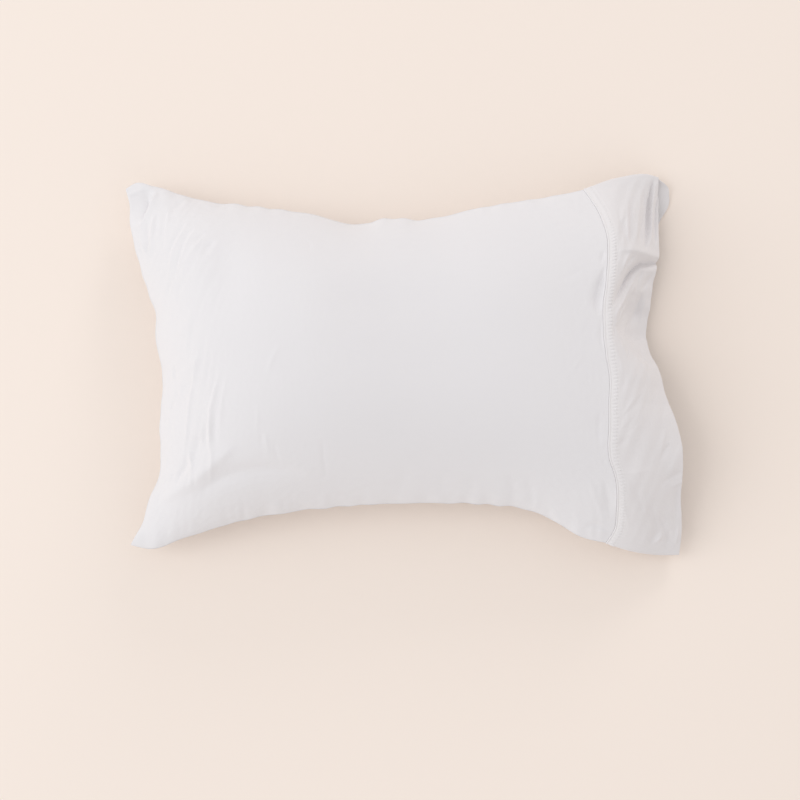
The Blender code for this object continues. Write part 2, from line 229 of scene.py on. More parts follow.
# Creases, listed one by one. Each has its width to one side and its rise (below 0 it sinks), in tenths of
# a millimetre; its lean, above 0 where the side to the left of its run is the gentler; and the
# points x, y of that run, in millimetres.
BODY_CREASES = (
    # The closed end's corner at +Y: its tip folded over, and the facets beside it.
    (22, 16, 0, (-374, 228), (-364, 231), (-347, 236)),
    (120, -90, -0.3, (-340, 238), (-346, 222), (-350, 204), (-356, 184)),
    (36, -34, 0, (-335, 233), (-344, 221), (-348, 206), (-352, 186)),
    (52, 46, 0.5, (-329, 230), (-336, 223), (-341, 209), (-347, 194), (-356, 173)),
    (40, 24, 0.4, (-333, 201), (-334, 178), (-336, 157), (-337, 134)),
    (50, -24, 0, (-340, 189), (-341, 164), (-339, 141)),
    (28, 18, 0, (-355, 167), (-346, 151), (-338, 134)),
    (28, -14, 0, (-358, 166), (-351, 154), (-342, 137)),
    (32, -11, 0, (-328, 200), (-329, 178), (-330, 157)),
    # Drag lines that fan out from that corner.
    (36, -13, 0, (-317, 205), (-317, 184), (-318, 162), (-317, 143)),
    (36, 9, 0, (-311, 207), (-313, 184), (-313, 160)),
    (34, -19, 0, (-287, 182), (-295, 167), (-302, 152), (-307, 136), (-309, 122)),
    (34, 13, 0, (-282, 179), (-291, 164), (-299, 150), (-303, 133), (-305, 111), (-306, 95)),
    (34, -19, 0, (-273, 175), (-283, 161), (-287, 149), (-291, 134), (-296, 110), (-298, 88)),
    (34, 12, 0, (-269, 173), (-279, 159), (-284, 146), (-288, 130), (-294, 108), (-301, 82)),
    (32, -14, 0, (-258, 165), (-266, 156), (-274, 148)),
    (38, 12, 0, (-255, 163), (-264, 152), (-275, 137), (-283, 119), (-289, 95)),
    (60, -13, 0, (-244, 154), (-254, 140), (-263, 126)),
    (44, 8, 0, (-236, 157), (-246, 139), (-255, 121)),
    (32, -11, 0, (-301, 106), (-305, 93), (-308, 79)),
    (34, -8, 0, (-285, 97), (-290, 83), (-294, 70)),
    (60, -14, 0, (-292, 218), (-301, 209), (-310, 195)),
    (90, 14, 0, (-272, 67), (-274, 47), (-284, 30), (-295, 24)),
    # Slack along the closed end.
    (24, -16, 0, (-299, -9), (-297, -20), (-295, -34)),
    (24, 9, 0, (-302, -13), (-300, -25), (-298, -34)),
    (22, -16, 0, (-296, -43), (-292, -58)),
    (24, -14, 0, (-296, -55), (-301, -63), (-305, -73)),
    (80, 18, 0, (-253, -2), (-270, -15), (-290, -29)),
    (80, -15, 0, (-265, -35), (-277, -42), (-292, -48)),
    # Long drag lines up from the corner at -Y: two sharp ones, the rest faint.
    (28, 18, 0.2, (-256, 14), (-263, -6), (-268, -28), (-273, -51), (-277, -75), (-280, -101),
     (-284, -120), (-288, -144)),
    (34, 22, 0.1, (-228, -18), (-236, -37), (-241, -54), (-246, -73), (-248, -94), (-248, -115),
     (-245, -132), (-246, -149), (-250, -169)),
    (56, -18, 0, (-253, -90), (-254, -111), (-252, -132)),
    (40, -12, 0, (-239, -73), (-241, -99), (-240, -124)),
    (32, 9, 0, (-221, -24), (-229, -54), (-233, -82), (-234, -114)),
    (110, -30, 0, (-260, -102), (-266, -121), (-271, -140)),
    (24, 19, 0, (-279, -123), (-275, -131), (-272, -144), (-273, -161)),
    (60, -32, 0, (-280, -127), (-282, -142), (-287, -152), (-299, -161)),
    (28, -12, 0, (-298, -148), (-301, -156), (-304, -166)),
    (28, -12, 0, (-288, -152), (-291, -159), (-294, -168)),
    (26, -10, 0, (-277, -150), (-278, -161), (-281, -175)),
    (26, -9, 0, (-269, -149), (-269, -161), (-271, -174)),
    (24, 5, 0, (-184, -65), (-184, -86), (-186, -107)),
    (24, 6, 0, (-175, -102), (-173, -117), (-171, -134)),
    (28, -4, 0, (-162, -111), (-161, -130), (-154, -148)),
    (26, -3, 0, (-180, -100), (-180, -113), (-181, -125)),
    (36, 7, 0, (-154, 9), (-166, -14), (-171, -31)),
    # The corner at -Y itself: one broad soft fold, slack below it.
    (150, 54, 0.15, (-322, -192), (-301, -179), (-278, -166), (-254, -150), (-231, -133), (-211, -117)),
    (150, -40, 0, (-271, -185), (-248, -169), (-223, -158), (-192, -152), (-157, -151), (-123, -155)),
    # Small marks on the face.
    (28, -7, 0, (-133, 152), (-121, 146), (-119, 134)),
    (26, 6, 0, (219, -26), (227, -14), (238, -1)),
    (36, -5, 0, (244, 120), (226, 107), (205, 98)),
    (30, -5, 0, (-101, -108), (-100, -137), (-95, -170)),
    # Beside the cuff's seam.
    (80, -62, 0.3, (268, 119), (264, 103), (259, 86), (256, 70), (258, 52)),
    (32, -14, 0, (268, 142), (265, 132), (262, 122)),
    (30, 14, 0, (271, 125), (269, 107), (266, 87), (263, 70)),
    (40, -12, 0, (262, 49), (261, 26), (262, 3)),
    (70, -12, 0, (259, -72), (256, -96), (258, -120)),
    (80, -18, 0.2, (262, -158), (268, -176), (272, -193), (274, -212)),
    (60, 8, 0.2, (244, -160), (251, -178), (259, -196), (267, -214)),
    (36, -16, 0, (240, -225), (252, -220), (264, -223), (273, -229)),
    (34, 10, 0, (254, -227), (265, -228), (275, -232)),
    # Hollows that the sewn side pulls into the face's lower edge.
    (80, -10, 0, (10, -144), (2, -164), (-4, -186)),
    (70, -8, 0, (56, -150), (50, -186)),
    (60, -7, 0, (92, -152), (95, -188)),
    (70, -12, 0, (140, -150), (146, -174), (148, -196)),
    (60, -10, 0, (160, -152), (170, -176), (174, -196)),
)
# Broad soft hollows and rises of the filling: x, y, reach along x and y, rise.
SOFT_SPOTS = (
    (-0.230, 0.106, 0.030, 0.050, -0.0052),
    (-0.035, 0.066, 0.075, 0.030, -0.0026),
    (0.045, 0.030, 0.100, 0.110, -0.0065),
    (-0.262, 0.060, 0.045, 0.100, 0.0040),
    (0.000, -0.090, 0.120, 0.045, -0.0020),
    (0.120, 0.080, 0.070, 0.060, 0.0022),
    (-0.120, 0.060, 0.050, 0.060, 0.0016),
)


CREASE_STEPS = 32        # straight steps along a crease's run
CREASE_REACH = 6         # it is worked out as far as this many widths from its run


def creased(creases, x, y):
    """The rise of the listed creases at each place x, y.

    A crease falls off with the distance from its run as exp(1 - sqrt(1 + (2 distance / width)^2)),
    a soft peak, and narrows and fades towards the run's two ends.
    """
    total = np.zeros_like(x)
    for width, rise, lean, *run in creases:
        run, width, rise = np.array(run) / 1000, width / 10000, rise / 10000
        knots = np.arange(len(run), dtype=float)
        at = np.linspace(0, len(run) - 1, CREASE_STEPS + 1)
        line = np.stack([hermite(knots, run[:, 0], at), hermite(knots, run[:, 1], at)], -1)
        low, high = line.min(0) - CREASE_REACH * width, line.max(0) + CREASE_REACH * width
        near = (x > low[0]) & (x < high[0]) & (y > low[1]) & (y < high[1])
        point = np.stack([x[near], y[near]], -1)[:, None]
        step = np.diff(line, axis=0)
        offset = point - line[:-1]
        share = np.clip((offset * step).sum(-1) / (step**2).sum(-1), 0, 1)
        away = np.linalg.norm(offset - share[..., None] * step, axis=-1)
        closest = away.argmin(1)
        pick = np.arange(len(closest)), closest
        along = (closest + share[pick]) / len(step)
        left = np.sign(step[closest, 0] * offset[pick][:, 1] - step[closest, 1] * offset[pick][:, 0])
        fade = (1 - np.abs(2 * along - 1) ** 2.4) ** 1.5
        wide = width * (0.45 + 0.55 * fade) * (1 + lean * left)
        total[near] += rise * fade * np.exp(1 - np.sqrt(1 + (2 * away[pick] / wide) ** 2))
    return total


def softened(spots, x, y):
    """The rise of broad soft spots: each an oval bell."""
    return sum(
        rise * np.exp(-(((x - middle_x) / reach_x) ** 2) - ((y - middle_y) / reach_y) ** 2)
        for middle_x, middle_y, reach_x, reach_y, rise in spots
    )


def gathers(s, spacing, turn):
    """Uneven gathers along a seam, from -1 to 1: a wave whose spacing and depth wander slowly."""
    wander = 1.7 * np.sin(2 * np.pi * s / (4.3 * spacing) + turn)
    depth = 0.6 + 0.4 * np.sin(2 * np.pi * s / (6.1 * spacing) + 2.3 * turn)
    return depth * np.sin(2 * np.pi * s / spacing + wander)


def crown(u, v):
    """The pillow's fullness: 1 at its highest, 0 at the closed end and along both long sides."""
    closing = (1 - np.clip((FULLEST - u) / FULLEST, 0, 1) ** END_ROUND) ** PLUMPNESS
    ramp = np.clip((u - FULLEST) / (1 - FULLEST), 0, 1)
    fallen = (np.hypot(ramp, END_BEND) - END_BEND) / (np.hypot(1, END_BEND) - END_BEND)
    mouthward = 1 - END_SLOPE * fallen
    across = (1 - np.abs(v) ** FLAT_TOP) ** PLUMPNESS
    return closing * mouthward * across


def on_floor(height):
    """Heights pressed flat by the floor: none below it, and a soft turn of the cloth just above it."""
    turn = np.clip(height + FLOOR_TURN, 0, 2 * FLOOR_TURN) ** 2 / (4 * FLOOR_TURN)
    return np.where(height > FLOOR_TURN, height, turn)


def body_form(u, v, side):
    """The filled case without its creases: the patch between its edges, raised by the crown."""
    closed = across_y(CLOSED_END, v)
    seam = across_y(FACE_SEAM if side > 0 else BACK_SEAM, v)
    bottom = along_x(BOTTOM_EDGE, CLOSED_END[0, 0], FACE_SEAM[0, 0], u)
    top = along_x(TOP_EDGE, CLOSED_END[-1, 0], FACE_SEAM[-1, 0], u)
    for edge in (closed, bottom, top):
        edge[:, 2] += side * SEAM_EDGE / 2
    height = FACE_CROWN if side > 0 else -BACK_CROWN
    # The crown's own height at the seam comes off first, so that the seam keeps its table's height.
    seam[:, 2] -= height * crown(np.ones_like(v), v)
    place = spanned(closed, seam, bottom, top, u, v, BODY_REACH)
    place[..., 2] += height * crown(u[:, None], v[None, :])
    return place


def edge_stir(u, v, x, y):
    """How the edges wander, the same for both layers: small kinks, gone a few centimetres inside."""
    from_side, from_end = from_sides(v), u * BODY_LENGTH
    turn = np.where(v > 0, 0.4, 2.1)
    open_end = 1 - u**12
    corner = 1 - np.abs(v) ** 10
    at_side = np.exp(-from_side / 0.014) * np.clip(from_end / 0.05, 0, 1) * open_end
    at_end = np.exp(-from_end / 0.012) * corner
    stir = np.zeros((*u.shape, 3))
    stir[..., 1] = 0.0010 * np.sign(v) * at_side * gathers(x, 0.041, turn)
    stir[..., 2] = 0.0014 * at_side * gathers(x, 0.033, turn + 1)
    stir[..., 2] += 0.0012 * at_end * gathers(y, 0.037, 0.9)
    stir[..., 0] = 0.0008 * at_end * gathers(y, 0.043, 2.6)
    return stir


def drag_lines(x, y):
    """Faint drag lines beside the closed end: they fan out from its +Y corner and run down the end.

    Each line keeps its distance from one curved course, and comes and goes along it.
    """
    across = x - 0.2 * y - 0.9 * np.clip(y, 0, 1) ** 2
    mask = bell(x + 0.285, 0.055) * bell(y - 0.02, 0.19, 4)
    coming = 0.6 + 0.4 * np.sin(2 * np.pi * y / 0.083 + 90 * across)
    lines = gathers(across, 0.0135, 0.9 + 6.0 * y) * coming
    coming = 0.5 + 0.5 * np.sin(2 * np.pi * y / 0.061 + 1 + 140 * across)
    lines += 0.6 * gathers(across, 0.0083, 2.2 - 8.0 * y) * coming
    return 0.00038 * mask * lines


def body_surface(u, v, side):
    """The case's cloth: face (side 1) or back (side -1), u from closed end to seam, v across."""
    place = body_form(u, v, side)
    u, v = crossed(u, v)
    outward = facing(place) * side
    x, y = place[..., 0], place[..., 1]
    from_side, from_end = from_sides(v), u * BODY_LENGTH
    from_seam = (1 - u) * BODY_LENGTH
    turn = np.where(v > 0, 1.2, 0.3) + (side < 0) * 1.9
    # The stitches of a sewn side hold the cloth down between small puffs, deeper along the -Y side.
    puffs = gathers(x, 0.029, turn) * gathers(x, 0.071, turn + 2) + 0.4 * gathers(x, 0.0155, turn + 1)
    reach = from_side / 0.0085
    rise = np.where(v > 0, 0.0003, 0.0005) * puffs * reach * np.exp(1 - reach)
    if side > 0:
        rise += creased(BODY_CREASES, x, y) + softened(SOFT_SPOTS, x, y) + drag_lines(x, y)
        # The cloth dips where it is sewn under the cuff's tuck.
        rise -= 0.0004 * np.exp(-from_seam / 0.0016)
    edge = np.minimum(np.minimum(from_side, from_end), from_seam)
    free = 1 - bell(edge, STITCH_HOLD)
    place += outward * (rise * free)[..., None] + edge_stir(u, v, x, y)
    if side < 0:
        place[:-1, :, 2] = on_floor(place[:-1, :, 2])
    else:
        place[-1, :, 2] -= 0.0002
    return place


SLACK_CELL = 0.005       # the coarse cloth that settles has points this far apart
SLACK_LIMIT = 0.0030     # no point shifts further than this
SLACK_FRAMES = 20        # how long it settles
WEIGHT_STEPS = 60        # its weights are rounded to this many steps


def linked(name, data):
    """A mesh, a light or a camera as a new object in the scene."""
    made = bpy.data.objects.new(name, data)
    bpy.context.scene.collection.objects.link(made)
    return made


def quads_over(numbers):
    """The four point numbers of each face over a grid of them."""
    corners = numbers[:-1, :-1], numbers[1:, :-1], numbers[1:, 1:], numbers[:-1, 1:]
    return np.stack(corners, -1).reshape(-1, 4)


def settled(face, back, pinned, slack):
    """Lets the slack cloth settle: Blender's Cloth, run on a coarse copy of both layers.

    face and back are even grids. pinned and slack hold a grid for each. The cloth is longer than
    its place by slack, most beside the seams, so it buckles there; the filling holds it back a
    little everywhere, and wholly where pinned is 1. Where pinned is below 0 the two layers are
    one, and its size is what counts. Gives how far each point shifts.
    """
    lines, rows = face.shape[:2]
    face_numbers = np.arange(lines * rows).reshape(lines, rows)
    back_numbers = face_numbers + lines * rows
    shared = pinned[0] < 0
    back_numbers[shared] = face_numbers[shared]
    middle = (face + back) / 2
    face = np.where(shared[..., None], middle, face)
    places = np.concatenate([face.reshape(-1, 3), back.reshape(-1, 3)])
    kept, numbers = np.unique(np.stack([face_numbers, back_numbers]), return_inverse=True)
    numbers = numbers.reshape(2, lines, rows)
    places = places[kept]
    hold, loose = np.abs(pinned).ravel()[kept], slack.ravel()[kept]
    faces = np.concatenate([quads_over(numbers[0]), quads_over(numbers[1])[:, ::-1]])
    mesh = bpy.data.meshes.new("slack_cloth")
    mesh.from_pydata(places, [], faces.tolist())
    cloth = linked("slack_cloth", mesh)
    for name, weights in (("hold", hold), ("loose", loose / loose.max())):
        group = cloth.vertex_groups.new(name=name)
        steps = np.round(weights * WEIGHT_STEPS) / WEIGHT_STEPS
        for step in np.unique(steps):
            group.add(np.flatnonzero(steps == step).tolist(), float(step), "REPLACE")
    made = cloth.modifiers.new("settle", "CLOTH")
    how = made.settings
    how.quality, how.mass, how.air_damping = 5, 0.0002, 2.0
    how.tension_stiffness = how.compression_stiffness = 15
    how.shear_stiffness, how.bending_stiffness = 5, 0.3
    how.vertex_group_mass, how.pin_stiffness = "hold", 1.0
    how.vertex_group_shrink, how.shrink_min, how.shrink_max = "loose", 0.0, -float(loose.max())
    how.effector_weights.gravity = 0
    made.collision_settings.use_collision = False
    scene = bpy.context.scene
    first, last = scene.frame_start, scene.frame_end
    for clock in (made.point_cache, scene):
        clock.frame_start, clock.frame_end = 1, SLACK_FRAMES
    for frame_number in range(1, SLACK_FRAMES + 1):
        scene.frame_set(frame_number)
    at_rest = cloth.evaluated_get(bpy.context.evaluated_depsgraph_get()).data
    found = np.zeros(len(places) * 3, np.float32)
    at_rest.vertices.foreach_get("co", found)
    scene.frame_set(1)
    scene.frame_start, scene.frame_end = first, last
    bpy.data.objects.remove(cloth)
    bpy.data.meshes.remove(mesh)
    shift = found.reshape(-1, 3) - places
    far = np.linalg.norm(shift, axis=1, keepdims=True)
    shift *= SLACK_LIMIT * np.tanh(far / SLACK_LIMIT) / np.maximum(far, 1e-9)
    return shift[numbers[0]], shift[numbers[1]]


def cubic_shares(at, count):
    """The share that each of count even stations has in a smooth curve's value at each place."""
    start = np.clip(np.floor(at).astype(int), 0, count - 2)
    f = at - start
    shares = (
        -f * (1 - f) ** 2 / 2,
        1 + f * f * (3 * f - 5) / 2,
        f * (1 + f * (4 - 3 * f)) / 2,
        -f * f * (1 - f) / 2,
    )
    found = np.zeros((len(at), count))
    for step, share in enumerate(shares):
        np.add.at(found, (np.arange(len(at)), np.clip(start + step - 1, 0, count - 1)), share)
    return found


def spread(shift, u, v):
    """A coarse grid of shifts, smoothly between its points, at the lines u (0 to 1) and v (-1 to 1)."""
    lines, rows = shift.shape[:2]
    along = cubic_shares(u * (lines - 1), lines)
    across = cubic_shares((v + 1) / 2 * (rows - 1), rows)
    return np.tensordot(np.tensordot(along, shift, (1, 0)), across, (1, 1)).transpose(0, 2, 1)


def body_slack():
    """How far the face's and the back's cloth shift as the slack settles, on even grids."""
    u = np.linspace(0, 1, round(BODY_LENGTH / SLACK_CELL) + 1)
    v = np.linspace(-1, 1, round(2 * HALF_WIDTH / SLACK_CELL) + 1)
    from_end, from_side = crossed(u * BODY_LENGTH, from_sides(v))
    nearest = np.minimum(np.minimum(from_end, from_side), BODY_LENGTH - from_end)
    pinned = 0.10 + 0.30 * (1 - bell(nearest, 0.07))
    pinned[0] = pinned[:, 0] = pinned[:, -1] = -0.3
    pinned[-1] = 1.0
    pinned[-1, 0] = pinned[-1, -1] = -1.0
    slack = 0.001 + 0.027 * bell(nearest, 0.05, 1.5) + 0.003 * bell(from_end, 0.14)
    layers = body_surface(u, v, 1), body_surface(u, v, -1)
    return settled(*layers, np.stack([pinned, pinned]), np.stack([slack, slack]))


def sewn_edge(face_edge, back_edge):
    """The rounded edge between the two layers, with the line of its seam sunk along the middle."""
    middle = (face_edge + back_edge) / 2
    half = (face_edge - back_edge) / 2
    level = EDGE_LEVELS[:, None, None]
    bulge = EDGE_BULGE * np.sqrt(1 - level**2) - SEAM_SINK * (np.abs(level) < 0.2)
    return middle + half * level + level_out(middle) * bulge


def pillow_end(face, back, v, level, side_points):
    """The pillow's rounded end inside the cuff, between the two seam rows, with its own seam.

    Level runs from -1 at the back to 1 at the face. The bulge starts inside the cuff's cloth, and
    none is left where the layers close up at the two sewn sides.
    """
    share = ((level + 1) / 2)[..., None]
    place = back * (1 - share) + face * share
    half = np.maximum((face[..., 2] - back[..., 2]) / 2, 1e-4)
    room = np.maximum(half - END_INSET, 0)
    inset = np.clip(np.abs(level) * half / np.maximum(room, 1e-6), 0, 1)
    place[..., 0] += PILLOW_END * (1 - inset**2) ** 1.2 * (room / half)
    puckers = 0.5 * np.exp(-np.abs(level) / 0.2) * gathers(place[..., 1], 0.028, 0.7)
    ridge = bell(level, 0.035) + puckers
    place[..., 0] += END_SEAM * ridge * np.clip(room / 0.02, 0, 1)
    # At the two sewn sides the points close up on those of the side's own edge.
    snap = np.abs(level[:, 0, None] - EDGE_LEVELS).argmin(1)
    place[:, 0] = side_points[0][snap]
    place[:, -1] = side_points[1][snap]
    place[0], place[-1] = back, face
    return place


WELD = 2e-6              # points nearer than this are one


def piece_of(name, mesh, finishes, weld=0.0):
    """A mesh as an object: its seams welded, its faces turned outwards, smooth, in its finishes."""
    bm = bmesh.new()
    bm.from_mesh(mesh)
    if weld:
        bmesh.ops.remove_doubles(bm, verts=bm.verts, dist=weld)
        bmesh.ops.dissolve_degenerate(bm, edges=bm.edges, dist=1e-7)
    bmesh.ops.recalc_face_normals(bm, faces=bm.faces)
    bm.to_mesh(mesh)
    bm.free()
    mesh.shade_smooth()
    for finish in finishes:
        mesh.materials.append(finish)
    return linked(name, mesh)


class Cut:
    """A piece's points, their places on the flat cloth, and its faces, gathered patch by patch."""

    def __init__(self):
        self.points, self.flat, self.faces, self.finish = [], [], [], []
        self.count = 0

    def rows(self, places, flat):
        """Adds a grid of points and gives their numbers."""
        numbers = self.count + np.arange(places[..., 0].size).reshape(places.shape[:2])
        self.points.append(places.reshape(-1, 3))
        self.flat.append(np.broadcast_to(flat, (*places.shape[:2], 2)).reshape(-1, 2))
        self.count += places[..., 0].size
        return numbers

    def skin(self, numbers, finish=0, flip=False):
        """Faces over a grid of point numbers."""
        quads = quads_over(numbers)
        self.faces += (quads[:, ::-1] if flip else quads).tolist()
        self.finish += [finish] * len(quads)

    def step(self, fine, coarse, flip=False):
        """Triangles from a row of point numbers to a coarser row, several steps to each of its own."""
        ratio = (len(fine) - 1) // (len(coarse) - 1)
        turn = ratio - ratio // 2
        segment = np.arange(len(fine) - 1)
        fans = np.stack([fine[:-1], fine[1:], coarse[(segment + ratio // 2) // ratio]], -1)
        meet = fine[np.arange(len(coarse) - 1) * ratio + turn]
        fans = np.concatenate([fans, np.stack([coarse[1:], coarse[:-1], meet], -1)])
        self.faces += (fans[:, ::-1] if flip else fans).tolist()
        self.finish += [0] * len(fans)

    def sewn(self, name, finishes):
        """The welded mesh as an object, with its flat cloth's places as a UV map in metres."""
        mesh = bpy.data.meshes.new(name)
        points, flat = np.concatenate(self.points), np.concatenate(self.flat)
        mesh.from_pydata(points, [], self.faces)
        mesh.polygons.foreach_set("material_index", self.finish)
        corners = np.zeros(len(mesh.loops), np.int32)
        mesh.loops.foreach_get("vertex_index", corners)
        layer = mesh.uv_layers.new(name="flat_cloth")
        layer.data.foreach_set("uv", flat[corners].astype(np.float32).ravel())
        return piece_of(name, mesh, finishes, weld=WELD)


# The cloth's finish, shared by the case and its cuff: a plain weave of uneven threads, with slubs.
def tuned(node, inputs):
    """The node, with each of its inputs given a value or wired to a socket."""
    for key, value in inputs.items():
        if isinstance(value, bpy.types.NodeSocket):
            node.id_data.links.new(value, node.inputs[key])
        else:
            node.inputs[key].default_value = value
    return node


def wired(group, kind, inputs=(), **settings):
    """A new node of a kind, with its settings and inputs."""
    node = group.nodes.new(kind)
    for name, value in settings.items():
        setattr(node, name, value)
    return tuned(node, dict(inputs))


def maths(group, operation, first, second=0.0):
    """The result of one sum on two numbers or sockets."""
    return wired(group, "ShaderNodeMath", {0: first, 1: second}, operation=operation).outputs[0]


def mixed(group, first, second, share):
    """Two close colours, mixed by a share that changes over the piece."""
    mix = wired(group, "ShaderNodeMix", {"A": (*first, 1), "B": (*second, 1), 0: share}, data_type="RGBA")
    return mix.outputs["Result"]


def relief(group, height, depth, under=None):
    """A bump of some depth, over the relief under it."""
    inputs = {"Height": height, "Strength": 1.0, "Distance": depth}
    if under is not None:
        inputs["Normal"] = under
    return wired(group, "ShaderNodeBump", inputs).outputs[0]


def blank(name):
    """A new material, with its nodes and its shader."""
    made = bpy.data.materials.new(name)
    made.use_nodes = True
    return made, made.node_tree, made.node_tree.nodes["Principled BSDF"]


THREADS = 2600.0         # in a metre of cloth, either way


def plain_weave():
    """Node group: threads over and under, sine of one way times sine of the other, and their slubs."""
    group = bpy.data.node_groups.new("plain_weave", "ShaderNodeTree")
    group.interface.new_socket("Cloth", in_out="INPUT", socket_type="NodeSocketVector")
    group.interface.new_socket("Threads", in_out="INPUT", socket_type="NodeSocketFloat")
    for name in ("Thread Height", "Slubs"):
        group.interface.new_socket(name, in_out="OUTPUT", socket_type="NodeSocketFloat")
    given = group.nodes.new("NodeGroupInput")
    result = group.nodes.new("NodeGroupOutput")
    cloth, threads = given.outputs["Cloth"], given.outputs["Threads"]
    parts = wired(group, "ShaderNodeSeparateXYZ", {0: cloth})
    half_turns = maths(group, "MULTIPLY", threads, float(np.pi))
    turns = [maths(group, "MULTIPLY", parts.outputs[axis], half_turns) for axis in (0, 1)]
    over_under = maths(group, "MULTIPLY", *(maths(group, "SINE", turn) for turn in turns))
    group.links.new(over_under, result.inputs["Thread Height"])
    slubs = []
    for stretch in ((24.0, 1100.0, 1.0), (1100.0, 30.0, 1.0)):
        drawn = wired(group, "ShaderNodeMapping", {"Vector": cloth, "Scale": stretch})
        slubs.append(wired(
            group, "ShaderNodeTexNoise",
            {"Vector": drawn.outputs[0], "Scale": 1.0, "Detail": 2.0, "Roughness": 0.6},
        ).outputs["Fac"])
    both = maths(group, "ADD", *slubs)
    group.links.new(maths(group, "MULTIPLY", both, 0.5), result.inputs["Slubs"])
    return group


weave = plain_weave()


def cotton(name, colour, shade, sheen=0.22):
    """Washed white percale: its own tint wanders a little, and fine crumples show beside the weave."""
    made, tree, shader = blank(name)
    cloth = wired(tree, "ShaderNodeUVMap", uv_map="flat_cloth").outputs[0]
    room = wired(tree, "ShaderNodeTexCoord").outputs["Object"]
    threads = wired(tree, "ShaderNodeGroup", {"Cloth": cloth, "Threads": THREADS}, node_tree=weave)
    height, slubs = threads.outputs["Thread Height"], threads.outputs["Slubs"]
    # Colour: two close whites, mixed by a slow cloud and by the slubs.
    cloud = wired(tree, "ShaderNodeTexNoise", {"Vector": room, "Scale": 7.0, "Detail": 3.0})
    cloud_part = maths(tree, "MULTIPLY", cloud.outputs["Fac"], 0.6)
    share = maths(tree, "ADD", cloud_part, maths(tree, "MULTIPLY", slubs, 0.4))
    # Relief: the small crumples that washing leaves, and over them the slubs and the threads.
    crumple = wired(
        tree, "ShaderNodeTexNoise",
        {"Vector": room, "Scale": 75.0, "Detail": 3.0, "Roughness": 0.5, "Distortion": 0.6},
    ).outputs["Fac"]
    crumpled = relief(tree, crumple, 0.00022)
    woven = relief(tree, height, 0.00002, relief(tree, slubs, 0.00010, crumpled))
    rough = wired(tree, "ShaderNodeMapRange", {"Value": crumple, "To Min": 0.80, "To Max": 0.92})
    tuned(shader, {
        "Base Color": mixed(tree, colour, shade, share), "Normal": woven, "Roughness": rough.outputs[0],
        "Specular IOR Level": 0.25, "Sheen Weight": sheen, "Sheen Roughness": 0.5,
    })
    return made


case_cotton = cotton("case_percale", (0.830, 0.822, 0.834), (0.800, 0.790, 0.806))
pillow_ticking = cotton("pillow_ticking", (0.80, 0.79, 0.77), (0.77, 0.76, 0.74), sheen=0.1)

lines_u = graded(
    LENGTH_LINES, (0, 1.6), (0.38, 1.6), (0.45, 0.6), (0.82, 0.6), (0.90, 1.6), (0.985, 2.2), (1, 5.0)
)
lines_v = graded(ACROSS_LINES, (-1, 2.6), (-0.93, 1.5), (-0.3, 1.0), (0.35, 1.0), (0.93, 1.5), (1, 2.6))
on_cloth = np.stack(crossed(lines_u * BODY_LENGTH, lines_v * HALF_WIDTH), -1)
face, back = (
    body_surface(lines_u, lines_v, side) + spread(shift, lines_u, lines_v)
    for side, shift in zip((1, -1), body_slack())
)
for layer in (face, back):
    above_floor(layer)
case = Cut()
case.skin(case.rows(face, on_cloth))
case.skin(case.rows(back, on_cloth * (1, -1) + (0, 2 * HALF_WIDTH)), flip=True)


def rim(grid):
    """A body grid's edge from the seam's -Y end, along the side, round the closed end and back."""
    return np.concatenate([grid[::-1, 0], grid[0, 1:-1], grid[:, -1]])


edge = sewn_edge(rim(face), rim(back))
case.skin(case.rows(edge, rim(on_cloth) + EDGE_LEVELS[:, None, None] * (0, EDGE_BULGE)))
end_levels = graded(20, (-1, 2), (0, 1.5), (1, 2))
level, end_v = crossed(end_levels, lines_v)
bulge = pillow_end(face[-1], back[-1], end_v, level, (edge[:, 0], edge[:, -1]))
case.skin(case.rows(bulge, np.stack([end_v * HALF_WIDTH, level * END_HEIGHT / 2], -1)), finish=1)
case_cloth = case.sewn("case_cloth", (case_cotton, pillow_ticking))
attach(case_cloth, "root")
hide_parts("case_body")

# ----------------------------------------------------------------------
# Cuff
# A deep band of the same cotton turned in double, sewn round the mouth with a lapped seam: a fine
# raised tuck, then a stitched band beside it. It is hollow, droops over the pillow's end on the
# face side and flares again towards the -Y side; its back lies on the floor.
# ----------------------------------------------------------------------

FACE_MOUTH = MARK + [
    (0.369, -0.255, 0.0186), (0.371, -0.223, 0.031), (0.368, -0.180, 0.049), (0.369, -0.135, 0.064),
    (0.366, -0.103, 0.068), (0.357, -0.070, 0.064), (0.349, -0.046, 0.056), (0.342, -0.010, 0.044),
    (0.335, 0.012, 0.034), (0.334, 0.037, 0.029), (0.338, 0.074, 0.025), (0.340, 0.112, 0.023),
    (0.347, 0.146, 0.024), (0.348, 0.179, 0.019), (0.348, 0.228, 0.020), (0.348, 0.257, 0.0236),
]
BACK_MOUTH = MARK + [
    (0.369, -0.255, 0.0154), (0.364, -0.235, 0.008), (0.358, -0.200, 0.001), (0.352, -0.140, 0.0),
    (0.341, -0.070, 0.0), (0.327, 0.000, 0.0), (0.322, 0.050, 0.0), (0.330, 0.110, 0.0),
    (0.341, 0.165, 0.0), (0.351, 0.200, 0.001), (0.361, 0.218, 0.003), (0.364, 0.236, 0.006),
    (0.361, 0.250, 0.012), (0.348, 0.257, 0.0204),
]
CUFF_DEPTH = 0.100       # from the seam to the mouth, along the cloth
CUFF_CLOTH = 0.0012      # both layers together
CUFF_CELL = 0.0025       # its coarse cloth's points are this far apart
CUFF_REACH = (4.0, 0.07)     # its outline's wiggles run right through from seam to mouth
SIDE_HOLD, SEAM_HOLD = 0.006, 0.012       # how near its sides and its seam the cloth lies still
SEAM_GAP = 0.0002        # the groove between the body and the tuck
FOLD_SWAY = 0.25         # a fold rises mostly upwards: this share of its push along x is kept
LAYER_GAP = 0.0032       # the face side comes no nearer to the floor side, cloth included
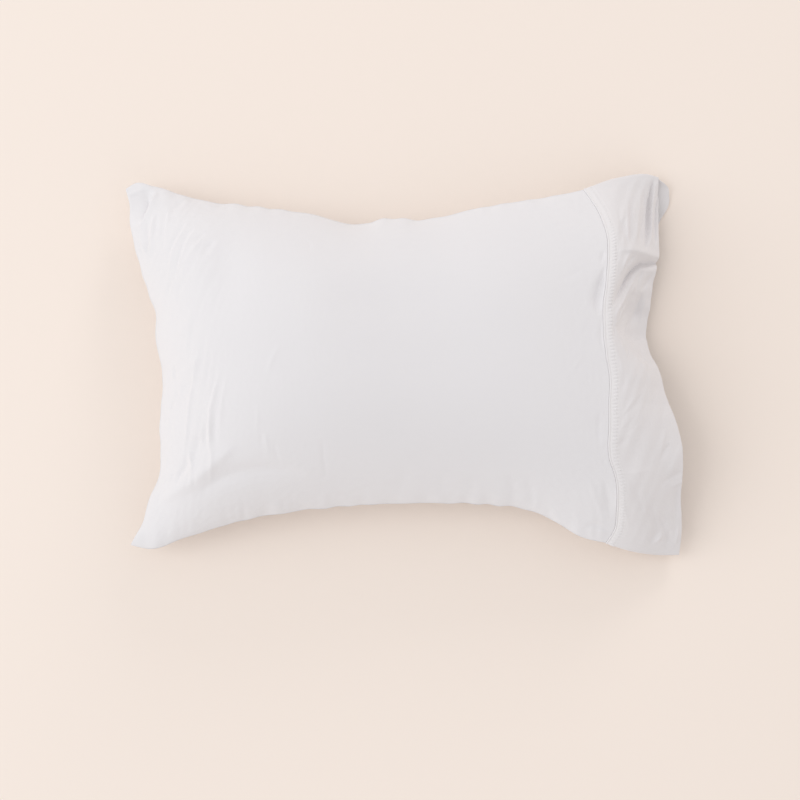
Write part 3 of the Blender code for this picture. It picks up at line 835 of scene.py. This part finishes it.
LAID_TURN = 0.0006       # how softly a fold is laid on the floor side
OVER_END = 0.22          # how much the face side arches before it falls to the mouth
SHOULDER = 0.03          # how much of that arch lies near the seam
TUCK_HEIGHT = 0.0007     # the fine raised tuck beside the seam
BAND_START, BAND_END = 0.0033, 0.0114     # the stitched band, measured from the seam
BAND_HEIGHT = 0.0004     # at its inner edge, over the cuff
BAND_RISE = 0.0006       # more at its outer edge, where the cuff's turned edge lies under it
TIGHT_FROM = 0.170       # beyond this y the band is drawn tight and flat
STITCH_LINE = 0.0086     # the row of stitches, measured from the seam
STITCH_PITCH = 0.0047    # from one stitch to the next
PUFF_HEIGHT = 0.00022    # the cloth's puff between two stitches
GROOVE_DEPTH = 0.0007    # the groove across the band at each stitch
PULL_DEPTH = 0.00012     # the line that the stitches draw in
FINE_STEPS = 3           # the stitched band's grid is this much finer round the cuff

CUFF_CREASES = (
    # Upright folds at the +Y corner, where the cuff closes over the back layer.
    (38, -100, 0.15, (346, 262), (342, 243), (338, 224), (336, 204), (333, 179), (329, 158), (327, 146)),
    (30, 46, 0, (349, 252), (345, 234), (342, 218), (340, 198), (338, 173), (334, 153)),
    (24, -46, 0, (354, 251), (351, 230), (348, 211), (347, 191), (346, 169), (343, 152)),
    (50, -41, 0, (329, 237), (331, 222), (329, 201), (322, 174), (319, 152)),
    (40, 24, 0, (323, 234), (323, 214), (318, 194), (315, 173), (313, 153)),
    (36, -35, 0, (309, 214), (308, 193), (306, 172), (307, 150)),
    (36, 18, 0, (305, 219), (304, 198), (302, 178), (303, 155)),
    (44, -28, 0, (300, 196), (296, 178), (298, 163), (300, 148)),
    (40, -15, 0, (291, 210), (292, 188), (292, 167), (291, 150)),
    # The cross fold below them, and the deep hollow that runs from the mouth down to the seam.
    (80, 52, 0.5, (284, 140), (299, 142), (312, 143), (325, 143), (337, 143), (349, 144), (364, 144)),
    (64, -125, -0.4, (384, 139), (362, 138), (346, 135), (332, 130), (323, 127), (315, 119), (305, 107),
     (297, 95), (287, 81), (276, 66), (262, 48)),
    (140, -60, -0.2, (336, 123), (324, 118), (311, 106), (299, 90), (286, 72), (274, 56)),
    (30, -30, 0, (313, 141), (304, 130), (296, 117), (289, 104)),
    (26, 22, 0, (305, 142), (298, 130), (294, 117), (290, 108)),
    (24, -22, 0, (284, 149), (285, 134), (283, 121)),
    (46, 57, -0.2, (322, 120), (309, 98), (299, 80), (286, 61), (278, 46)),
    (22, -32, 0, (301, 77), (292, 62), (283, 45)),
    (22, 20, 0, (306, 78), (297, 63), (288, 46)),
    (40, 23, 0, (331, 122), (321, 105), (311, 89), (304, 77)),
    (32, -28, 0, (327, 122), (321, 104), (319, 92)),
    (34, -24, 0, (344, 127), (334, 108), (326, 94)),
    (60, -60, 0, (328, 94), (327, 80), (325, 64), (316, 43)),
    (36, 22, 0, (337, 97), (333, 75), (331, 51)),
    (80, -50, 0, (317, 82), (305, 62), (294, 45), (290, 30)),
    (24, -22, 0, (315, 55), (308, 39), (303, 24)),
    (24, 15, 0, (308, 52), (302, 36), (298, 23)),
    (30, 22, 0, (293, 70), (284, 50), (277, 33)),
    (30, -30, 0, (277, 46), (278, 33), (280, 21)),
    (140, -66, 0.5, (272, 46), (286, 37), (305, 32), (324, 34), (346, 40)),
    # Below the middle, where the cuff comes out of the hollow.
    (40, 14, 0, (274, 29), (279, 7), (286, -11), (289, -25)),
    (30, 12, 0, (285, 21), (291, 10), (296, -2)),
    (24, -20, 0, (301, 23), (299, 9), (298, -4)),
    (60, 18, 0, (302, 9), (315, -8), (326, -27), (332, -48)),
    (44, -18, 0, (310, 15), (324, 0), (337, -19)),
    (44, -12, 0, (286, -21), (290, -33), (285, -50)),
    (24, -6, 0, (281, -93), (291, -79), (302, -67), (311, -54), (321, -41)),
    (28, 6, 0, (281, -101), (293, -88), (304, -75), (310, -64)),
    (26, 6, 0, (283, -83), (296, -67), (307, -54), (319, -44)),
    (28, -5, 0, (290, -106), (302, -95), (310, -84), (316, -70)),
    (34, -11, 0, (324, -40), (320, -62), (312, -81)),
    (28, -10, 0, (309, -91), (312, -100), (315, -109)),
    (60, -14, 0, (280, -121), (287, -114), (297, -107)),
    (50, 6, 0, (282, -153), (295, -154), (314, -152), (329, -146)),
    # The flare: a notch at the mouth, and facets about it.
    (57, -14, 0, (343, -48), (347, -65), (343, -82)),
    (36, 10, 0, (350, -90), (344, -111), (339, -135)),
    (41, -18, 0, (355, -112), (347, -123), (341, -137)),
    (120, 29, 0, (378, -111), (365, -128), (358, -142), (352, -157)),
    (36, -12, 0, (382, -148), (367, -152), (352, -160), (340, -170)),
    (34, 12, 0, (382, -161), (367, -165), (356, -170)),
    (70, -30, 0, (368, -162), (366, -180), (366, -198), (365, -222)),
    # The corner at -Y.
    (90, -20, 0, (297, -162), (310, -182), (319, -205)),
    (76, -16, 0, (321, -188), (333, -207), (342, -232)),
    (40, 10, 0, (330, -189), (343, -205), (351, -217)),
    (52, -14, 0, (342, -205), (350, -223), (359, -246)),
    (56, 12, 0, (352, -209), (361, -227), (368, -245)),
    (56, -18, 0, (331, -245), (336, -236), (346, -222)),
    (32, 18, 0, (336, -245), (343, -237), (347, -231)),
    (40, -16, 0, (354, -245), (356, -237), (358, -222)),
    (36, 18, 0, (366, -245), (369, -232), (369, -218)),
    (44, 12, 0, (284, -192), (294, -205), (299, -223)),
)
# Broad hollows: the cuff is slack below the cross fold, and again above the -Y corner.
CUFF_SPOTS = (
    (0.318, 0.056, 0.028, 0.042, -0.0230),
    (0.300, -0.128, 0.022, 0.024, -0.0030),
    (0.318, -0.020, 0.024, 0.036, 0.0050),
)


def between(d, start, end, soft, soft_end=None):
    """1 from start to end, with soft shoulders of a given width."""
    return 1 / (1 + np.exp(-(d - start) / soft)) / (1 + np.exp((d - end) / (soft_end or soft)))


def paced(place, t):
    """The same surface read at shares t of each column's own length, from lines at even parameters."""
    length = np.linalg.norm(np.diff(place, axis=0), axis=-1).cumsum(axis=0)
    length = np.concatenate([np.zeros_like(length[:1]), length]) / length[-1]
    below = (length[None, :-1] <= t[:, None, None]).sum(axis=1) - 1
    below = np.clip(below, 0, len(place) - 2)
    start, end = (np.take_along_axis(length, line, 0) for line in (below, below + 1))
    share = ((t[:, None] - start) / (end - start))[..., None]
    below = below[..., None]
    start, end = (np.take_along_axis(place, line, 0) for line in (below, below + 1))
    return start * (1 - share) + end * share


def cuff_layer(t, v, side, folded=True):
    """The cuff's cloth: face (side 1) or floor side (-1), t from the seam to the mouth, v across.

    Not folded, it is the calm form that its slack settles on, before the listed folds.
    """
    seam = across_y(FACE_SEAM if side > 0 else BACK_SEAM, v)
    mouth = across_y(FACE_MOUTH if side > 0 else BACK_MOUTH, v)
    steps = np.linspace(0, 1, 161)
    bottom = along_x(BOTTOM_EDGE, FACE_SEAM[0, 0], FACE_MOUTH[0, 0], steps)
    top = along_x(TOP_EDGE, FACE_SEAM[-1, 0], FACE_MOUTH[-1, 0], steps)
    for edge in (bottom, top):
        edge[:, 2] += side * SEAM_EDGE / 2
    place = spanned(seam, mouth, bottom, top, steps, v, CUFF_REACH)
    if side > 0:
        # Over the pillow's end the cloth leaves the seam nearly level, then falls faster to the mouth.
        fall = place[0, :, 2] - place[-1, :, 2]
        half_turn = np.pi * steps[:, None]
        place[..., 2] += fall * (OVER_END * np.sin(half_turn) + SHOULDER * np.sin(2 * half_turn))
    place = paced(place, t)
    t, v = crossed(t, v)
    hold = (1 - bell(from_sides(v), SIDE_HOLD)) * (1 - bell(t * CUFF_DEPTH, SEAM_HOLD))
    if side > 0:
        outward = facing(place)
        x, y = place[..., 0], place[..., 1]
        rise = softened(CUFF_SPOTS, x, y) + (creased(CUFF_CREASES, x, y) if folded else 0)
        rise += 0.0006 * gathers(x - 0.4 * y, 0.019, 0.8) * np.sin(np.pi * t)
        rise += 0.0005 * gathers(y, 0.031, 1.9) * t
        outward[..., 0] *= FOLD_SWAY
        place += unit(outward) * (rise * hold)[..., None]
    else:
        place[..., 0] += 0.0016 * hold * t * gathers(place[..., 1], 0.045, 0.5)
    above_floor(place)
    return place


def cuff_slack():
    """How far the cuff's face and floor side shift as its slack settles, on even grids."""
    t = np.linspace(0, 1, round(CUFF_DEPTH / CUFF_CELL) + 1)
    v = np.linspace(-1, 1, round(2 * HALF_WIDTH / CUFF_CELL) + 1)
    d, from_side = crossed(t * CUFF_DEPTH, from_sides(v))
    near_seam = bell(d, SEAM_HOLD)
    pinned = np.stack([0.06 + 0.94 * near_seam, 0.30 + 0.70 * near_seam])
    pinned[:, :, 0] = pinned[:, :, -1] = -np.maximum(0.3, near_seam[:, 0])
    loose = (1 - near_seam) * (1 - bell(from_side, 0.02))
    slack = np.stack([0.002 + 0.020 * loose, 0.001 + 0.004 * loose])
    return settled(cuff_layer(t, v, 1, folded=False), cuff_layer(t, v, -1), pinned, slack)


def sleeve(t, face_v, back_v, turns):
    """The whole cuff as one closed grid: face, +Y edge, floor side, -Y edge, and its first line again.

    Where a fold of the face side would reach the floor side, it is laid on it, with a soft turn.
    """
    face, back = (
        cuff_layer(t, v, side) + spread(shift, t, v)
        for v, side, shift in zip((face_v, back_v), (1, -1), cuff_shift)
    )
    lowest = cuff_layer(t, face_v, -1)[..., 2] + LAYER_GAP
    laid = lowest + LAID_TURN * np.logaddexp(0, (face[..., 2] - lowest) / LAID_TURN)
    face[..., 2] += (1 - bell(from_sides(face_v), SIDE_HOLD)) * (laid - face[..., 2])
    sides = []
    for line, out_sign in ((-1, 1), (0, -1)):
        middle = (face[:, line] + back[:, line]) / 2
        half = np.linalg.norm(face[:, line] - back[:, line], axis=-1)[:, None, None] / 2
        out = out_sign * level_out(middle)
        angle = (turns if out_sign > 0 else -turns)[1:-1]
        up = np.sin(angle)[None, :, None] * np.array([0, 0, 1.0])
        sides.append(middle[:, None] + half * (up + np.cos(angle)[None, :, None] * out[:, None]))
    return np.concatenate([face, sides[0], back[:, ::-1], sides[1], face[:, :1]], axis=1)


def sleeve_normals(grid):
    """Unit normals of the closed grid, whose last line is its first."""
    along = np.gradient(grid, axis=0)
    ring = grid[:, :-1]
    round_it = np.roll(ring, -1, axis=1) - np.roll(ring, 1, axis=1)
    return unit(np.cross(along, np.concatenate([round_it, round_it[:, :1]], axis=1)))


def finer(lines):
    """The same lines with FINE_STEPS steps in the place of each one."""
    at = np.arange(FINE_STEPS * (len(lines) - 1) + 1) / FINE_STEPS
    return np.interp(at, np.arange(len(lines)), lines)


cuff_shift = cuff_slack()
face_v = graded(330, (-1, 2.0), (-0.9, 1.2), (0, 1.0), (0.9, 1.3), (1, 2.0))
back_v = graded(170, (-1, 2.2), (-0.9, 1.2), (0, 1.0), (0.9, 1.2), (1, 2.2))
turns = np.radians([90, 50, 15, -15, -50, -90])
BAND_ROWS_END = 0.0128
band_rows = np.concatenate([np.arange(0, 0.0117, 0.00055), [0.0121, BAND_ROWS_END]])
cloth_rows = graded(80, (BAND_ROWS_END, 2.0), (0.020, 1.2), (0.090, 1.0), (CUFF_DEPTH, 1.6))
inner_rows = graded(34, (0, 1.5), (0.02, 1), (CUFF_DEPTH, 1.2))

fine = sleeve(band_rows / CUFF_DEPTH, finer(face_v), finer(back_v), finer(turns))
plain = sleeve(cloth_rows / CUFF_DEPTH, face_v, back_v, turns)
inner = sleeve(inner_rows / CUFF_DEPTH, face_v, back_v, turns)
fine_out, plain_out, inner_out = sleeve_normals(fine), sleeve_normals(plain), sleeve_normals(inner)
for grid, rows in ((fine, band_rows), (plain, cloth_rows), (inner, inner_rows)):
    grid[..., 0] += SEAM_GAP * (1 - rows[:, None] / CUFF_DEPTH)

# Round the seam, in metres of cloth: the stitches are spaced along it.
seam_steps = np.linalg.norm(np.diff(fine[len(band_rows) // 2], axis=0), axis=-1)
round_seam = np.concatenate([[0], np.cumsum(seam_steps)])
stitch_count = round(round_seam[-1] / STITCH_PITCH)
pitch = round_seam[-1] / stitch_count

d = band_rows[:, None]
beat = 2 * np.pi * round_seam[None, :] / pitch
tuck = TUCK_HEIGHT * bell(d - 0.0012, 0.0009, 4)
tuck = tuck * (1 + 0.10 * gathers(round_seam[None, :], 0.023, 0.3))
# Between the stitches the band puffs up a little; at each one a narrow groove runs across it. Where
# it is drawn tight the puffs go flat, and no groove parts it from the tuck.
loose = 1 / (1 + np.exp((fine[..., 1] - TIGHT_FROM) / 0.004))
band = BAND_HEIGHT + BAND_RISE * loose * (d - BAND_START) / (BAND_END - BAND_START)
band_start = BAND_START * loose + 0.0008 * (1 - loose)
band = band * between(d, band_start, BAND_END - 0.0006, 0.00022, 0.0006)
puff = PUFF_HEIGHT * (1 + 0.6 * gathers(round_seam[None, :], 0.017, 1.1))
puff = puff * between(d, 0.0058, 0.0110, 0.0005)
groove = GROOVE_DEPTH * np.cos(beat / 2) ** 4 * between(d, 0.0056, 0.0112, 0.0003)
ladder = loose * (puff - groove) - PULL_DEPTH * bell(d - STITCH_LINE, 0.0007)
fine_skin = fine + fine_out * (tuck + band + ladder)[..., None]
fine_skin[:, -1] = fine_skin[:, 0]     # the ring closes on its first line
for grid in (fine_skin, plain, inner):
    above_floor(grid)
inner_skin = inner - inner_out * CUFF_CLOTH


def round_the_cuff(rows, steps):
    """Places on the flat cloth of a closed grid: past the body's along, and round the seam across."""
    across = np.interp(np.linspace(0, 1, steps), np.linspace(0, 1, len(round_seam)), round_seam)
    along, across = crossed(rows, across)
    return np.stack([BODY_LENGTH + along, across - HALF_WIDTH], -1)


cuff = Cut()
fine_numbers = cuff.rows(fine_skin, round_the_cuff(band_rows, fine.shape[1]))
plain_numbers = cuff.rows(plain[1:], round_the_cuff(cloth_rows[1:], plain.shape[1]))
inner_numbers = cuff.rows(inner_skin, round_the_cuff(inner_rows, inner.shape[1]))
cuff.skin(fine_numbers, finish=1)
cuff.step(fine_numbers[-1], plain_numbers[0])
cuff.skin(plain_numbers)
cuff.skin(inner_numbers, flip=True)
cuff.step(fine_numbers[0], inner_numbers[0], flip=True)
# The folded edge at the mouth, rounded over half the cloth's thickness.
mouth_out = plain_out[-1]
ahead = unit(plain[-1] - plain[-2])
middle = plain[-1] - mouth_out * CUFF_CLOTH / 2
angle = np.radians([60, 25, -25, -60])[:, None, None]
lip = middle + CUFF_CLOTH / 2 * (mouth_out * np.sin(angle) + ahead * np.cos(angle))
lip_numbers = cuff.rows(lip, round_the_cuff([CUFF_DEPTH] * 4, lip.shape[1]))
cuff.skin(np.concatenate([plain_numbers[-1:], lip_numbers, inner_numbers[-1:]]))
# The cuff's whites are darker and warmer than the case's, though it is the same cotton: painted shade
# where the cuff falls away from the light, tinted warm like the floor's bounce.
cuff_cotton_painted_shade = cotton("cuff_percale_painted_shade", (0.812, 0.794, 0.800), (0.784, 0.764, 0.770))
# The stitched band and its tuck are whiter than the rest of the cuff: in part the layers of cloth lapped
# there, in part painted light where the band's puffs catch it, and without the cuff's painted shade.
cuff_band_layers_and_painted_light = cotton("cuff_band_percale_layers_and_painted_light", (0.832, 0.817, 0.823), (0.806, 0.790, 0.796))
cuff_cloth = cuff.sewn("cuff_cloth", (cuff_cotton_painted_shade, cuff_band_layers_and_painted_light))
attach(cuff_cloth, "root")
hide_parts("cuff")

# ----------------------------------------------------------------------
# Stitches of the cuff's seam
# White cotton thread, one row along the stitched band all the way round. Each stitch lies on the
# band and dips into the cloth at both ends, where the needle went through.
# ----------------------------------------------------------------------

THREAD_RADIUS = 0.00034
STITCH_LENGTH = 0.0036


def thread_of_stitches(line, out):
    """Every stitch of a row at once: a six-sided thread through five rings, thin at both ends.

    line and out are the band's points and normals along the row, one for each step of round_seam.
    """
    ring_at = np.array([-1, -0.72, 0, 0.72, 1.0])
    ring_size = np.array([0.35, 0.85, 1.0, 0.85, 0.35])
    ring_lift = np.array([-0.9, 0.1, 0.75, 0.1, -0.9]) * THREAD_RADIUS
    middles = (np.arange(stitch_count) + 0.5) * pitch
    at = middles[:, None] + ring_at * STITCH_LENGTH / 2
    place, normal = read_at(at, round_seam, line), unit(read_at(at, round_seam, out))
    along = unit(np.gradient(place, axis=1))
    beside = unit(np.cross(along, normal))
    angle = np.radians(np.arange(6) * 60)[:, None]
    section = np.cos(angle) * beside[:, :, None] + np.sin(angle) * normal[:, :, None]
    size, lift = (THREAD_RADIUS * ring_size)[:, None, None], ring_lift[:, None, None]
    rings = place[:, :, None] + normal[:, :, None] * lift + size * section
    above_floor(rings)
    return rings


row = np.abs(band_rows - STITCH_LINE).argmin()
rings = thread_of_stitches(fine_skin[row] + fine_out[row] * THREAD_RADIUS * 0.3, fine_out[row])
stitches, ring_count, sides = rings.shape[:3]
numbers = np.arange(rings[..., 0].size).reshape(stitches, ring_count, sides)
following = np.roll(numbers, -1, axis=2)
walls = np.stack([numbers[:, :-1], following[:, :-1], following[:, 1:], numbers[:, 1:]], -1)
caps = np.concatenate([numbers[:, 0, ::-1], numbers[:, -1]])
mesh = bpy.data.meshes.new("seam_stitches")
mesh.from_pydata(rings.reshape(-1, 3), [], walls.reshape(-1, 4).tolist() + caps.tolist())

# Two plies twisted together: fine ridges that wind round the thread. The same ridges set its colour,
# darker in the grooves between them as painted shade.
thread, tree, shader = blank("cotton_thread")
room = wired(tree, "ShaderNodeTexCoord").outputs["Object"]
ply_ridges_and_painted_shade = wired(
    tree, "ShaderNodeTexWave", {"Vector": room, "Scale": 900.0, "Distortion": 1.5, "Detail": 1.0},
    bands_direction="DIAGONAL",
).outputs["Fac"]
tuned(shader, {
    "Base Color": mixed(tree, (0.80, 0.785, 0.785), (0.87, 0.862, 0.862), ply_ridges_and_painted_shade),
    "Normal": relief(tree, ply_ridges_and_painted_shade, 0.00005), "Roughness": 0.62, "Sheen Weight": 0.2,
})
seam_stitches = piece_of("seam_stitches", mesh, [thread])
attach(seam_stitches, "root")

# ----------------------------------------------------------------------
# Floor, lights and camera
# A plain pale floor, two large soft lights beyond the closed end, one low and one high, a smaller
# one beyond the +Y side with a weak fill opposite, and the camera at the photograph's angle.
# ----------------------------------------------------------------------

mesh = bpy.data.meshes.new("floor")
mesh.from_pydata([(-4, -4, 0), (4, -4, 0), (4, 4, 0), (-4, 4, 0)], [], [(0, 1, 2, 3)])
floor = linked("floor", mesh)
paper, _, shader = blank("pale_floor")
tuned(shader, {"Base Color": (0.93, 0.84, 0.765, 1), "Roughness": 0.9, "Specular IOR Level": 0.1})
mesh.materials.append(paper)

LIT_MIDDLE = np.array([0, 0, 0.05])       # where every light points
for name, place, size, power, colour in (
    ("window", (-5.6, 0.0, 2.3), 3.0, 70, (0.94, 0.975, 1.0)),
    ("window_high", (-3.6, 0.0, 4.4), 3.0, 46, (0.96, 0.985, 1.0)),
    ("window_far", (2.3, 5.1, 2.0), 1.8, 58, (1.0, 0.985, 0.985)),
    ("fill", (2.6, -5.1, 3.0), 3.5, 14, (1.0, 0.985, 0.98)),
):
    data = bpy.data.lights.new(name, "AREA")
    data.size, data.energy, data.color = size, power, colour
    light = linked(name, data)
    light.location = place
    away = unit(np.array(place) - LIT_MIDDLE)
    light.rotation_euler = (np.arccos(away[2]), 0, np.arctan2(away[0], -away[1]))
world = bpy.data.worlds.new("room")
world.use_nodes = True
tuned(world.node_tree.nodes["Background"], {"Color": (1.0, 0.972, 0.968, 1), "Strength": 0.74})
bpy.context.scene.world = world
bpy.context.scene.view_settings.view_transform = "Standard"

SEEN_MIDDLE = np.array([0.0035, -0.002, 0.06])
CAMERA_DISTANCE = 2.4
ELEVATION = np.radians(83)
FOCAL_LENGTH, SENSOR_WIDTH = 80.9, 36     # in millimetres
CAMERA_TURN = np.radians([5.773, 0.134, 0])
lens = bpy.data.cameras.new("camera")
lens.lens, lens.sensor_width = FOCAL_LENGTH, SENSOR_WIDTH
camera = linked("camera", lens)
camera.location = SEEN_MIDDLE + CAMERA_DISTANCE * np.array([0, -np.cos(ELEVATION), np.sin(ELEVATION)])
camera.rotation_euler = CAMERA_TURN
bpy.context.scene.camera = camera
